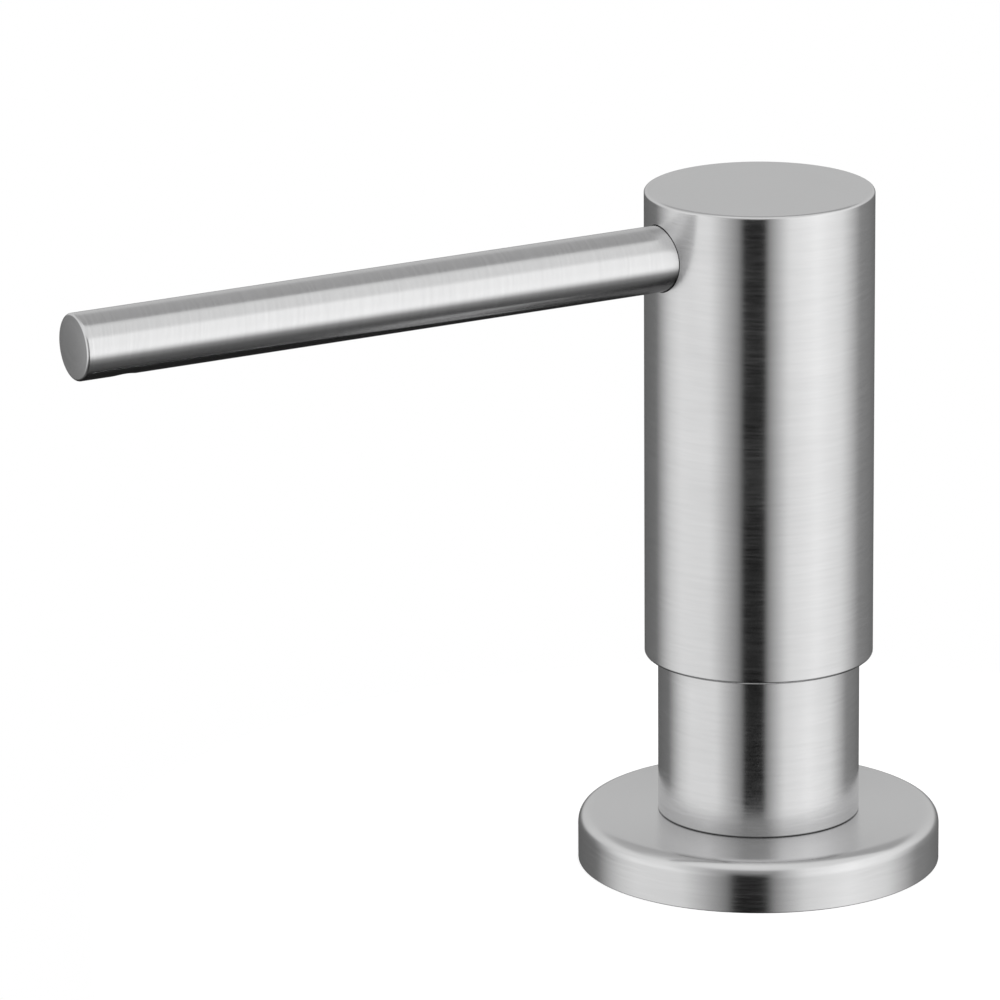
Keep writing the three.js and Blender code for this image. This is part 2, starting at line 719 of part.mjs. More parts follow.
// A plug inside the spout's end that turns the soap's way downwards.
function outletElbow() {
  const plug = rod(spoutRadius - SPOUT_WALL - PRESS_FIT, elbowReach, capSpigotReach - PRESS_FIT, SMALL_ROUND);
  const linerHole = rod(LINER_DIAMETER / 2 + PRESS_FIT, 0, elbowReach + LINER_GRIP, SMALL_ROUND);
  const across = rod(LINER_BORE / 2, 0, outletReach, TINY_ROUND);
  const down = outletRod(LINER_BORE / 2, 0, SPOUT_DIAMETER, TINY_ROUND);
  const nozzleHole = outletRod(OUTLET_DIAMETER / 2 + PRESS_FIT, nozzleTop, SPOUT_DIAMETER);
  return cut(plug, linerHole, across, down, nozzleHole);
}

const outletNozzle = () =>
  ring(LINER_BORE / 2, OUTLET_DIAMETER / 2, nozzleTop + PRESS_FIT, spoutRadius - OUTLET_RECESS, SMALL_ROUND)
    .rotateX(Math.PI / 2)
    .translate(0, 0, outletReach);

// ---------------------------------------------------------------- the assembly

function piece(name, geometry, material) {
  const mesh = new THREE.Mesh(geometry, material);
  mesh.name = name;
  return mesh;
}

function at(height, mesh) {
  mesh.position.z = height;
  return mesh;
}

function group(name, ...members) {
  const made = new THREE.Group().add(...members);
  made.name = name;
  return made;
}

const deckFixture = group(
  "deck_fixture",
  piece("flange", flange(), brushedSteel),
  piece("flange_gasket", flangeGasket(), blackRubber),
  piece("shank", shank(), brightSteel),
  piece("sleeve", sleeve(), brushedSteel),
);

const clamp = group(
  "clamp",
  piece("rubber_washer", washer(rubberTop, RUBBER_WASHER_THICKNESS), blackRubber),
  piece("steel_washer", washer(steelTop, STEEL_WASHER_THICKNESS), brightSteel),
  piece("mounting_nut", mountingNut(), blackPlastic),
);

const soapBottle = group(
  "soap_bottle",
  piece("bottle", bottle(), naturalPlastic),
  piece("bottle_gasket", bottleGasket(), blackRubber),
);

const cartridge = group(
  "cartridge",
  piece("pump_collar", pumpCollar(), greyPlastic),
  piece("collar_oring", collarOring(), blackRubber),
  piece("pump_cylinder", pumpCylinder(), whitePlastic),
  piece("stem_guide", stemGuide(), greyPlastic),
  piece("inlet_cage", inletCage(), whitePlastic),
  piece("return_spring", returnSpring(), springSteel),
  piece("dip_tube", dipTube(), naturalPlastic),
  at(inletSeat + inletRise, piece("inlet_ball", ball(INLET_BALL_DIAMETER), brightSteel)),
);

const plunger = group(
  "plunger",
  piece("pump_stem", pumpStem(), whitePlastic),
  piece("piston_seal", pistonSeal(), naturalPlastic),
  piece("piston_retainer", pistonRetainer(), whitePlastic),
  at(stemTop + outletRise, piece("outlet_ball", ball(OUTLET_BALL_DIAMETER), brightSteel)),
);

const spout = at(
  spoutZ,
  group(
    "spout",
    piece("spout_tube", spoutTube(), brushedSteel),
    piece("spout_cap", spoutCap(), brushedSteel),
    piece("spout_liner", spoutLiner(), naturalPlastic),
    piece("outlet_elbow", outletElbow(), blackPlastic),
    piece("outlet_nozzle", outletNozzle(), blackPlastic),
  ),
);
spout.rotation.x = layDown;

const head = group(
  "head",
  piece("head_shell", headShell(), brushedSteel),
  piece("guide_band", guideBand(), whitePlastic),
  piece("head_core", headCore(), greyPlastic),
  piece("core_oring", coreOring(), blackRubber),
  spout,
);

export default group("soap_pump_dispenser", deckFixture, clamp, soapBottle, cartridge, plunger, head);
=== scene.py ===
"""A deck-mounted soap pump dispenser in brushed steel, on a pale deck under soft studio light."""

import json
import math

import bmesh
import bpy
from mathutils import Matrix, Vector


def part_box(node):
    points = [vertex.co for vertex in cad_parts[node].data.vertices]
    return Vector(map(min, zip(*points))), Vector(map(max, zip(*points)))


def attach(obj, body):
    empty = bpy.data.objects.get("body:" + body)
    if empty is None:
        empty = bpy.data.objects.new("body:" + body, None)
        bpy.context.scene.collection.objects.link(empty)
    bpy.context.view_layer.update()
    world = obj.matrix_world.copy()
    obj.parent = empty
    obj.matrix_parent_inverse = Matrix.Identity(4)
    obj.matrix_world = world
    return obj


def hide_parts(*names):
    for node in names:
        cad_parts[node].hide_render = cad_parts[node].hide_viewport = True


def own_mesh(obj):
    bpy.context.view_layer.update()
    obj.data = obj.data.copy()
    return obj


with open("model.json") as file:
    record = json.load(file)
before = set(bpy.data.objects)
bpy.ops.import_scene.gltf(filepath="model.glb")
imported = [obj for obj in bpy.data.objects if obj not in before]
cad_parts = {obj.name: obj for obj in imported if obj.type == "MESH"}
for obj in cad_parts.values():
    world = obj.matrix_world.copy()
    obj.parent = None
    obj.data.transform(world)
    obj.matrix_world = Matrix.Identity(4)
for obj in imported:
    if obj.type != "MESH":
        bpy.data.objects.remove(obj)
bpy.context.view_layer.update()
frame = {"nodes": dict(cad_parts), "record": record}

record = frame["record"]
body_of = {node: body for body, nodes in record["behaviour"]["bodies"].items() for node in nodes}

MM = 0.001
UP = Vector((0, 0, 1))
BACK = Vector((0, 1, 0))
ORIGIN = Vector((0, 0, 0))
GRID = 0.001 * MM  # two CAD points this near each other are one
GRID_STEPS = 2  # a point within so many steps of the axis or the half-plane is on it
TOUCHING = 0.01 * MM

SEGMENTS = 192  # round a large turned piece
SMALL_SEGMENTS = 96
THREAD_SEGMENTS = 120
CORNER_STEPS = 4  # in a rounded corner
BROAD_CORNER_STEPS = 6
FINE_EDGE = 0.15 * MM  # the radius left on a machined or moulded edge
KEEN_EDGE = 0.1 * MM
SOFT_CORNER = math.radians(50)  # an outline that turns less than this at a point is a curve there
CUT_CORNER = math.radians(30)  # the same for a surface that has been drilled
THREAD_CORNER = math.radians(35)  # and for a thread

# The thread, as the shank, the nut and the bottle share it
PITCH = 4 * MM
THREAD_DEPTH = 1.1 * MM
THREAD_CREST = 0.8 * MM
THREAD_FOOT = 2 * MM
THREAD_CLEARANCE = 0.3 * MM
SHANK_WALL = 1.6 * MM  # below the thread's root
SHANK_NECK = 2 * MM  # the plain stretch above the thread
SHANK_NECK_CUT = 0.1 * MM  # how much slimmer that is than the root
SHANK_CHAMFER = 1 * MM

# The nut
NUT_HUB_WALL = 3.6 * MM
NUT_FLANGE = 3 * MM
NUT_WINGS = 4
WING_THICKNESS = 4 * MM
WING_INSET = 1 * MM  # inside the nut's flange
WING_EDGE = 0.5 * MM

# The spout and its outlet
SPOUT_HOLE_GAP = 0.14 * MM  # round the spout, where it goes into the head
OUTLET_RADIUS = 2.4 * MM
CORE_FIT = 0.1 * MM  # round what stands in the core
CORE_CHANNEL = 0.6  # the soap's way through the core, as a share of the liner's width
HOLE_ROW = 1.3  # how far the head's rows of points are from the spout's axis, in radii of its hole
END_DEPTH = 0.5 * MM  # the points of the tube's end face are within this of its furthest one

# The bottle
BOTTLE_EDGE = 0.8 * MM
BOTTLE_INNER_EDGE = 0.4 * MM

# The spring and the dip tube
WIRE_RADIUS = 0.5 * MM
SPRING_TURNS = 8  # the first and the last lie flat
POINTS_PER_TURN = 32
POINTS_ROUND_WIRE = 10
TUBE_SLANT = math.radians(35)

# Camera
CAMERA_DISTANCE = 1199.6 * MM  # from the main axis, level
CAMERA_HEIGHT = 403.1 * MM  # above the deck
CAMERA_BEARING = math.radians(-29.87)  # from +X about +Z
CAMERA_TILT = 0.282  # radians below the horizon
CAMERA_TURN = -0.032  # radians from facing the main axis
CAMERA_ROLL = -0.0069
CAMERA_SENSOR = 36  # millimetres
CAMERA_LENS = 303.2  # millimetres
CAMERA_NEAREST = 50 * MM

# Brushed steel
STEEL_GREY = 0.72
STEEL_BLUE = 1.004  # the blue in it, as a share of the grey
STEEL_ROUGHNESS = 0.21
STEEL_ANISOTROPY = 0.78
# Its strokes: how many there are to a metre lengthwise and crosswise, and the noise's detail
FINE_STROKES = (240.0, 3600.0, 3.0)
LONG_STROKES = (90.0, 1500.0, 2.0)
FINE_SHARE = 0.6
STROKE_DEPTH = 0.03 * MM
STROKE_STRENGTH = 0.06
END_STROKES = 0.3  # how strong the strokes are on an end face, as a share of those on the wall
CORNER_SHADE_LINE = 0.12 * MM  # the painted shade's dark hairline at the sleeve's foot
CORNER_SHADE_HEIGHT = 3.2 * MM  # how far up from there the sleeve is darkened by painted shade

# Painted edge highlight, and grain
EDGE_HIGHLIGHT_WIDTH = 0.35 * MM
METAL_EDGE_HIGHLIGHT = 0.05  # how much brighter an edge is painted, as a highlight
PLASTIC_EDGE_HIGHLIGHT = 0.04
GRAIN_DEPTH = 0.05 * MM

# The deck
DECK_RADIUS = 100 * MM
DECK_HOLE = 17 * MM
DECK_EDGE = 1.5 * MM
DECK_GLOW = 0.55


# ---------------------------------------------------------------- outlines of the turned pieces


def outline(node, axis=UP, side=BACK, centre=ORIGIN, first=0):
    """The outline of a turned CAD node, as (radius, height) points in order, and whether it closes.

    It is the node's edges in the half-plane that holds the axis and lies to the given side of it. One that
    doesn't close is followed from one of its ends, counted outwards from the axis and upwards."""
    mesh = frame["nodes"][node].data
    across = axis.cross(side)
    points = {}
    names = []
    for vertex in mesh.vertices:
        place = vertex.co - centre
        key = tuple(round(n / GRID) for n in (place.dot(side), place.dot(axis), place.dot(across)))
        names.append(key)
        points[key] = (place.dot(side), place.dot(axis))
    near = {key for key in points if abs(key[2]) <= GRID_STEPS and key[0] >= -GRID_STEPS}
    links = {}
    for edge in mesh.edges:
        a, b = (names[i] for i in edge.vertices)
        on_axis = abs(a[0]) <= GRID_STEPS and abs(b[0]) <= GRID_STEPS
        if a != b and a in near and b in near and not on_axis:
            links.setdefault(a, set()).add(b)
            links.setdefault(b, set()).add(a)
    ends = [key for key in links if len(links[key]) == 1]
    closed = not ends
    at = sorted(ends, key=lambda key: (key[0] > GRID_STEPS, key[1]))[first] if ends else min(links)
    path = [at]
    before = None
    while True:
        onward = [key for key in links[at] if key != before and (key not in path or key == path[0])]
        if not onward or (onward[0] == path[0] and len(path) > 2):
            break
        before, at = at, onward[0]
        path.append(at)
    return [points[key] for key in path], closed


def rounded(points, closed, edge=FINE_EDGE, steps=CORNER_STEPS, stays_sharp=lambda point: False):
    """The outline with its corners rounded: a curve is made smooth, a sharp edge gets a small radius."""
    made = []
    count = len(points)
    for i, point in enumerate(points):
        if not closed and i in (0, count - 1):
            made.append(point)
            continue
        here = Vector(point)
        to_last = Vector(points[i - 1]) - here
        to_next = Vector(points[(i + 1) % count]) - here
        turn = math.pi - to_last.angle(to_next)
        if turn < math.radians(1) or stays_sharp(point):
            made.append(point)
            continue
        room = min(to_last.length, to_next.length) / 2
        cut = room if turn < SOFT_CORNER else min(edge, room * 0.9)
        start = here + to_last.normalized() * cut
        end = here + to_next.normalized() * cut
        for k in range(steps + 1):
            t = k / steps
            made.append(tuple(start * (1 - t) ** 2 + here * 2 * t * (1 - t) + end * t * t))
    return made


# ---------------------------------------------------------------- making pieces


def finished(name, mesh, sharp=False):
    """A new object of the bmesh, smooth, with its face normals outwards."""
    bmesh.ops.remove_doubles(mesh, verts=mesh.verts, dist=GRID / 2)
    bmesh.ops.dissolve_degenerate(mesh, edges=mesh.edges, dist=GRID / 2)
    bmesh.ops.recalc_face_normals(mesh, faces=mesh.faces)
    for face in mesh.faces:
        face.smooth = True
    data = bpy.data.meshes.new(name)
    mesh.to_mesh(data)
    mesh.free()
    made = bpy.data.objects.new(name, data)
    bpy.context.scene.collection.objects.link(made)
    if not sharp:
        data.set_sharp_from_angle(angle=SOFT_CORNER)
        normals = made.modifiers.new("flat_faces_stay_flat", "WEIGHTED_NORMAL")
        normals.keep_sharp = True
    return made


def skinned(name, columns, closed, sharp=False):
    """A surface through columns of points, each joined to the next."""
    mesh = bmesh.new()
    rows = len(columns[0])
    grid = [[mesh.verts.new(point) for point in column] for column in columns]
    for left, right in zip(grid, grid[1:]):
        for j in range(rows if closed else rows - 1):
            k = (j + 1) % rows
            mesh.faces.new((left[j], right[j], right[k], left[k]))
    return finished(name, mesh, sharp)


def turned(name, points, closed, segments=SEGMENTS, axis=UP, side=BACK, centre=ORIGIN):
    """A surface of revolution."""
    across = axis.cross(side)
    columns = []
    for i in range(segments + 1):
        angle = 2 * math.pi * (i % segments) / segments
        out = side * math.cos(angle) + across * math.sin(angle)
        columns.append([centre + out * radius + axis * height for radius, height in points])
    return skinned(name, columns, closed)


def placed(piece, node, material):
    """Gives the piece its material and puts it on the node's body in the node's place."""
    piece.data.materials.clear()
    piece.data.materials.append(material)
    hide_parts(node)
    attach(piece, body_of[node])
    return piece


def fine(node, material, segments=SEGMENTS, edge=FINE_EDGE, **frame_of):
    """A turned CAD node made again with many more sides and with its edges rounded."""
    points, closed = outline(node, **frame_of)
    piece = turned(f"{node}_piece", rounded(points, closed, edge), closed, segments, **frame_of)
    return placed(piece, node, material)


def drilled(piece, *tools):
    """Cuts the tools out of the piece."""
    for tool in tools:
        cut = piece.modifiers.new("cut", "BOOLEAN")
        cut.operation = "DIFFERENCE"
        cut.solver = "EXACT"
        cut.object = tool
    normals = piece.modifiers.get("flat_faces_stay_flat")
    if normals:
        piece.modifiers.remove(normals)
    bpy.context.view_layer.update()
    cut_mesh = bpy.data.meshes.new_from_object(piece.evaluated_get(bpy.context.evaluated_depsgraph_get()))
    piece.modifiers.clear()
    piece.data = cut_mesh
    for tool in tools:
        bpy.data.objects.remove(tool)
    piece.data.shade_smooth()
    piece.data.set_sharp_from_angle(angle=CUT_CORNER)
    piece.modifiers.new("flat_faces_stay_flat", "WEIGHTED_NORMAL").keep_sharp = True
    return piece


def drill(radius, start, end, axis, centre, segments=SMALL_SEGMENTS):
    """A plain rod for cutting, between two heights along its axis."""
    side = BACK if abs(axis.dot(BACK)) < 0.5 else UP
    points = [(0, start), (radius, start), (radius, end), (0, end)]
    return turned("drill", points, False, segments, axis, side, centre)


# ---------------------------------------------------------------- the thread


def thread_radius(root, height, angle, growth=0.0):
    """How far out a thread's surface is at a height and an angle from +X. It climbs with the angle."""
    phase = (height / PITCH - angle / (2 * math.pi)) % 1.0
    from_crest = abs((phase + 0.5) % 1.0 - 0.5) * PITCH
    crest = THREAD_CREST / 2 + growth
    slope = (THREAD_FOOT - THREAD_CREST) / 2 / THREAD_DEPTH
    out = THREAD_DEPTH + growth - max(0.0, from_crest - crest) / slope
    return root + max(growth, out)


def thread_rows(root, low, high, angle, growth=0.0):
    """One column of a thread's points. Its rows climb with the angle, so the thread's edges stay crisp."""
    crest = THREAD_CREST / 2 + growth
    foot = THREAD_FOOT / 2 + growth
    marks = [-foot, -(foot + crest) / 2, -crest, 0.0, crest, (foot + crest) / 2, foot, PITCH / 2]
    turns = range(math.floor(low / PITCH) - 2, math.ceil(high / PITCH) + 2)
    rows = []
    for turn in turns:
        for mark in marks:
            height = (turn + angle / (2 * math.pi)) * PITCH + mark
            height = min(max(height, low), high)
            rows.append((thread_radius(root, height, angle, growth), height))
    return rows


def screwed(name, column_of, segments=THREAD_SEGMENTS):
    """A closed body whose outline, a (radius, height) loop from column_of, may change with the angle."""
    columns = []
    for i in range(segments + 1):
        angle = 2 * math.pi * i / segments
        out = Vector((math.cos(angle), math.sin(angle), 0))
        columns.append([out * radius + UP * height for radius, height in column_of(angle)])
    piece = skinned(name, columns, True, sharp=True)
    piece.data.set_sharp_from_angle(angle=THREAD_CORNER)
    piece.modifiers.new("flat_faces_stay_flat", "WEIGHTED_NORMAL").keep_sharp = True
    return piece


# ---------------------------------------------------------------- materials


class Nodes:
    """Builds a node tree in few words."""

    def __init__(self, tree):
        self.tree = tree

    def add(self, kind, inputs=None, **settings):
        """A node of a kind, with its inputs linked or set, and its settings."""
        node = self.tree.nodes.new(kind)
        for key, value in settings.items():
            setattr(node, key, value)
        for key, value in (inputs or {}).items():
            if isinstance(value, bpy.types.NodeSocket):
                self.tree.links.new(value, node.inputs[key])
            else:
                node.inputs[key].default_value = value
        return node

    def math(self, operation, a, b=0.0, c=0.0):
        return self.add("ShaderNodeMath", {0: a, 1: b, 2: c}, operation=operation).outputs[0]

    def mapped(self, value, low, high, to_low, to_high, smooth=False):
        """The value, moved from one range to another and kept within it."""
        kind = "SMOOTHSTEP" if smooth else "LINEAR"
        inputs = {"Value": value, "From Min": low, "From Max": high, "To Min": to_low, "To Max": to_high}
        return self.add("ShaderNodeMapRange", inputs, interpolation_type=kind).outputs["Result"]

    def noise(self, vector, scale, detail=2.0, roughness=0.5):
        inputs = {"Vector": vector, "Scale": scale, "Detail": detail, "Roughness": roughness}
        return self.add("ShaderNodeTexNoise", inputs).outputs["Fac"]

    def combined(self, x, y, z):
        return self.add("ShaderNodeCombineXYZ", {"X": x, "Y": y, "Z": z}).outputs["Vector"]

    def ramp(self, value, stops):
        """A grey ramp from (position, brightness) stops."""
        node = self.add("ShaderNodeValToRGB", {"Fac": value})
        ramp = node.color_ramp
        for position, _ in stops[1:-1]:
            ramp.elements.new(position)
        for element, (position, grey) in zip(ramp.elements, stops):
            element.position = position
            element.color = (grey, grey, grey, 1)
        return node.outputs["Color"]


def material(name):
    """A new material, the maker of its nodes, and its shader."""
    made = bpy.data.materials.new(name)
    made.use_nodes = True
    made.node_tree.nodes.clear()
    nodes = Nodes(made.node_tree)
    shader = nodes.add("ShaderNodeBsdfPrincipled")
    nodes.add("ShaderNodeOutputMaterial", {"Surface": shader.outputs["BSDF"]})
    return made, nodes, shader


def link(nodes, value, shader, socket):
    nodes.tree.links.new(value, shader.inputs[socket])


def painted_edge_highlight(nodes, amount):
    """An amount at a piece's edges, inner and outer alike, that fades to nothing beside them: a painted
    edge highlight.
    """
    rounded_off = nodes.add("ShaderNodeBevel", {"Radius": EDGE_HIGHLIGHT_WIDTH}, samples=4).outputs["Normal"]
    surface = nodes.add("ShaderNodeNewGeometry").outputs["Normal"]
    # It is 1 where the surface is smooth, and less where it turns within the highlighted width.
    match = nodes.add("ShaderNodeVectorMath", {0: rounded_off, 1: surface}, operation="DOT_PRODUCT")
    return nodes.mapped(match.outputs["Value"], 0.98, 0.8, 0.0, amount)


def brushed_steel(name, along_y=False, height=0.0, satin=STEEL_ANISOTROPY, shaded_corner_height=None):
    """Stainless steel brushed round its axis: Z, or one along Y at a height, which is level or nearly so.

    If it stands in a corner at a height, painted shade darkens it there, most in a hairline."""
    made, nodes, shader = material(name)
    coordinates = nodes.add("ShaderNodeTexCoord").outputs
    x, y, z = nodes.add("ShaderNodeSeparateXYZ", {"Vector": coordinates["Object"]}).outputs
    facing = nodes.add("ShaderNodeSeparateXYZ", {"Vector": coordinates["Normal"]}).outputs
    if along_y:
        across, up, along = x, nodes.math("SUBTRACT", z, height), y
    else:
        across, up, along = x, y, z
    squares = [nodes.math("POWER", part, 2.0) for part in (across, up)]
    radius = nodes.math("SQRT", nodes.math("ADD", *squares))
    # The strokes run round the axis: long that way, and fine along the axis or, on an end face, outwards.
    lengthwise = nodes.math("ADD", along, radius)

    def strokes(length, fineness, detail):
        parts = [nodes.math("MULTIPLY", part, length) for part in (across, up)]
        parts.append(nodes.math("MULTIPLY", lengthwise, fineness))
        return nodes.noise(nodes.combined(*parts), 1.0, detail, 0.6)

    fine_strokes = strokes(*FINE_STROKES)
    long_strokes = strokes(*LONG_STROKES)
    patches = nodes.noise(coordinates["Object"], 90.0, 3.0, 0.55)
    # An end face is finished more evenly than the round wall.
    on_end = nodes.math("ABSOLUTE", facing[1] if along_y else facing[2])
    strength = nodes.mapped(on_end, 0.5, 1.0, 1.0, END_STROKES)
    fine_part = nodes.math("MULTIPLY", fine_strokes, FINE_SHARE)
    long_part = nodes.math("MULTIPLY", long_strokes, 1 - FINE_SHARE)
    tone = nodes.math("SUBTRACT", nodes.math("ADD", fine_part, long_part), 0.5)
    tone = nodes.math("MULTIPLY", tone, strength)
    grey = nodes.mapped(tone, -0.2, 0.2, STEEL_GREY - 0.04, STEEL_GREY + 0.03)
    # Painted highlight: the steel is made brighter along its edges.
    grey = nodes.math("ADD", grey, painted_edge_highlight(nodes, METAL_EDGE_HIGHLIGHT))
    # Painted shade: darker just above the flange, most in a hairline at the sleeve's foot, in place of the
    # corner's shadow.
    if shaded_corner_height is not None:
        above = nodes.mapped(z, shaded_corner_height, shaded_corner_height + CORNER_SHADE_HEIGHT, 0.0, 1.0)
        shade_hairline = CORNER_SHADE_LINE / CORNER_SHADE_HEIGHT
        painted_corner_shade = nodes.ramp(above, [(0.0, 0.10), (shade_hairline, 0.20), (2 * shade_hairline, 0.80), (1.0, 1.0)])
        grey = nodes.math("MULTIPLY", grey, painted_corner_shade)
    blue = nodes.math("MULTIPLY", grey, STEEL_BLUE)
    colour = nodes.add("ShaderNodeCombineColor", {"Red": grey, "Green": grey, "Blue": blue})
    link(nodes, colour.outputs["Color"], shader, "Base Color")
    roughness = nodes.mapped(fine_strokes, 0.3, 0.7, STEEL_ROUGHNESS - 0.03, STEEL_ROUGHNESS + 0.03)
    roughness = nodes.math("ADD", roughness, nodes.mapped(patches, 0.3, 0.7, -0.015, 0.02))
    link(nodes, roughness, shader, "Roughness")
    bump_strength = nodes.math("MULTIPLY", strength, STROKE_STRENGTH)
    height_map = {"Height": fine_strokes, "Strength": bump_strength, "Distance": STROKE_DEPTH}
    link(nodes, nodes.add("ShaderNodeBump", height_map).outputs["Normal"], shader, "Normal")
    tangent = nodes.add("ShaderNodeTangent", direction_type="RADIAL", axis="Y" if along_y else "Z")
    link(nodes, tangent.outputs["Tangent"], shader, "Tangent")
    shader.inputs["Metallic"].default_value = 1.0
    shader.inputs["Anisotropic"].default_value = satin
    shader.inputs["Anisotropic Rotation"].default_value = 0.25
    return made


def bright_metal(name, grey, roughness):
    """Plated or drawn metal, nearly a mirror, with faint handling marks."""
    made, nodes, shader = material(name)
    place = nodes.add("ShaderNodeTexCoord").outputs["Object"]
    marks = nodes.noise(place, 400.0, 4.0, 0.6)
    tone = nodes.mapped(marks, 0.3, 0.7, grey - 0.04, grey + 0.03)
    # Painted highlight: brighter along the edges.
    tone = nodes.math("ADD", tone, painted_edge_highlight(nodes, METAL_EDGE_HIGHLIGHT))
    blue = nodes.math("MULTIPLY", tone, 1.01)
    colour = nodes.add("ShaderNodeCombineColor", {"Red": tone, "Green": tone, "Blue": blue})
    link(nodes, colour.outputs["Color"], shader, "Base Color")
    link(nodes, nodes.mapped(marks, 0.3, 0.7, roughness, roughness + 0.08), shader, "Roughness")
    shader.inputs["Metallic"].default_value = 1.0
    return made


def moulded(name, colour, roughness, grain, see_through=0.0):
    """Moulded plastic or rubber: a fine grain, slight mottling and, if asked, a cloudy translucence."""
    made, nodes, shader = material(name)
    place = nodes.add("ShaderNodeTexCoord").outputs["Object"]
    mottle = nodes.noise(place, 60.0, 3.0, 0.6)
    texture = nodes.noise(place, 3000.0, 3.0, 0.6)
    # Painted highlight: lighter along the edges, on top of the random mottling.
    light = nodes.math("ADD", nodes.mapped(mottle, 0.3, 0.7, 0.93, 1.03), painted_edge_highlight(nodes, PLASTIC_EDGE_HIGHLIGHT))
    channels = ("Red", "Green", "Blue")
    parts = {channel: nodes.math("MULTIPLY", light, share) for channel, share in zip(channels, colour)}
    link(nodes, nodes.add("ShaderNodeCombineColor", parts).outputs["Color"], shader, "Base Color")
    link(nodes, nodes.mapped(texture, 0.3, 0.7, roughness - 0.05, roughness + 0.07), shader, "Roughness")
    bump = nodes.add("ShaderNodeBump", {"Height": texture, "Strength": grain, "Distance": GRAIN_DEPTH})
    link(nodes, bump.outputs["Normal"], shader, "Normal")
    shader.inputs["Transmission Weight"].default_value = see_through
    shader.inputs["IOR"].default_value = 1.5
    return made


# ---------------------------------------------------------------- the pieces


def end_centre(node, side):
    """The middle of a spout node's end face, at its lowest (0) or highest (1) Y."""
    low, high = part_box(node)
    end = (low, high)[side][1]
    places = {tuple(vertex.co) for vertex in frame["nodes"][node].data.vertices}
    ring = [Vector(place) for place in places if abs(place[1] - end) < END_DEPTH]
    return sum(ring, Vector()) / len(ring)


# The spout's axis runs from the main axis to the middle of its end face, sloping down a little.
spout_root = end_centre("spout_tube", 1)
spout_axis = (end_centre("spout_tube", 0) - spout_root).normalized()
spout_centre = spout_root + spout_axis * (spout_root.y / -spout_axis.y)
spout_height = spout_centre.z
spout_radius = (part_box("spout_tube")[1][0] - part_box("spout_tube")[0][0]) / 2
spout_frame = {"axis": spout_axis, "side": spout_axis.cross(Vector((1, 0, 0))), "centre": spout_centre}

steel = brushed_steel("steel_brushed_round")
spout_steel = brushed_steel("steel_brushed_round_spout", along_y=True, height=spout_height)
end_steel = brushed_steel("steel_brushed_end", satin=0.0)
spout_end_steel = brushed_steel("steel_brushed_spout_end", along_y=True, height=spout_height, satin=0.0)
# The sleeve's steel has painted shade just above the flange.
sleeve_steel_painted_shade = brushed_steel("steel_brushed_sleeve_painted_shade", shaded_corner_height=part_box("flange")[1][2])
bright_steel = bright_metal("steel_bright", 0.62, 0.12)
spring_steel = bright_metal("steel_spring", 0.5, 0.2)
black_rubber = moulded("rubber_black", (0.022, 0.022, 0.023), 0.75, 0.35)
black_plastic = moulded("plastic_black", (0.03, 0.031, 0.033), 0.42, 0.25)
white_plastic = moulded("plastic_white", (0.80, 0.80, 0.77), 0.38, 0.1)
grey_plastic = moulded("plastic_grey", (0.38, 0.39, 0.40), 0.42, 0.2)
natural_plastic = moulded("plastic_natural", (0.93, 0.95, 0.95), 0.32, 0.1, see_through=0.8)


def reach(node):
    """How far a node goes from the main axis, to +X."""
    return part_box(node)[1][0]


def faced(piece, axis, end_material):
    """Gives the flat end that faces along axis its own finish."""
    piece.data.materials.append(end_material)
    for face in piece.data.polygons:
        if face.normal.dot(axis) > 0.999:
            face.material_index = len(piece.data.materials) - 1
    return piece


def head_shell():
    """The head's shell, with the spout's hole in its wall."""
    points, closed = outline("head_shell")
    shape = rounded(points, closed)
    wall = max(shape)[0]
    hole = spout_radius + SPOUT_HOLE_GAP
    # Level rows beside the spout's hole keep the wall's shading true round it.
    rows = (spout_height - HOLE_ROW * hole, spout_height + HOLE_ROW * hole)
    made = []
    for here, after in zip(shape, shape[1:]):
        made.append(here)
        low, high = sorted((here[1], after[1]))
        if abs(here[0] - after[0]) < TOUCHING and high - low > 4 * hole:
            on_wall = [row for row in rows if low < row < high]
            made.extend((here[0], row) for row in sorted(on_wall, reverse=after[1] < here[1]))
    made.append(shape[-1])
    piece = turned("head_shell_piece", made, closed)
    piece = drilled(piece, drill(hole, spout_radius, wall * 2, spout_axis, spout_centre))
    return faced(placed(piece, "head_shell", steel), UP, end_steel)


def outlet_centre():
    """Where the outlet's axis meets the spout's."""
    low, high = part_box("outlet_nozzle")
    middle = (low[1] + high[1]) / 2
    return spout_centre + spout_axis * (middle - spout_centre.y) / spout_axis.y


def spout_tube():
    """The long tube, with the outlet's hole in its underside. Its ends stay sharp where the cap fits."""
    points, closed = outline("spout_tube", **spout_frame)
    piece = turned("spout_tube_piece", points, closed, **spout_frame)
    down = -spout_frame["side"]
    piece = drilled(piece, drill(OUTLET_RADIUS, 0.0, 2 * spout_radius, down, outlet_centre()))
    return placed(piece, "spout_tube", spout_steel)


def spout_cap():
    """The end cap. Only the edge of its face is rounded."""
    points, closed = outline("spout_cap", **spout_frame)
    joint = max(height for _, height in outline("spout_tube", **spout_frame)[0])
    shape = rounded(points, closed, KEEN_EDGE, stays_sharp=lambda point: point[1] < joint + KEEN_EDGE)
    piece = placed(turned("spout_cap_piece", shape, closed, **spout_frame), "spout_cap", spout_steel)
    return faced(piece, spout_axis, spout_end_steel)


def outlet_nozzle():
    """The outlet, which points down out of the spout's underside."""
    down = {"axis": -spout_frame["side"], "side": spout_axis, "centre": outlet_centre()}
    return fine("outlet_nozzle", black_plastic, SMALL_SEGMENTS, **down)


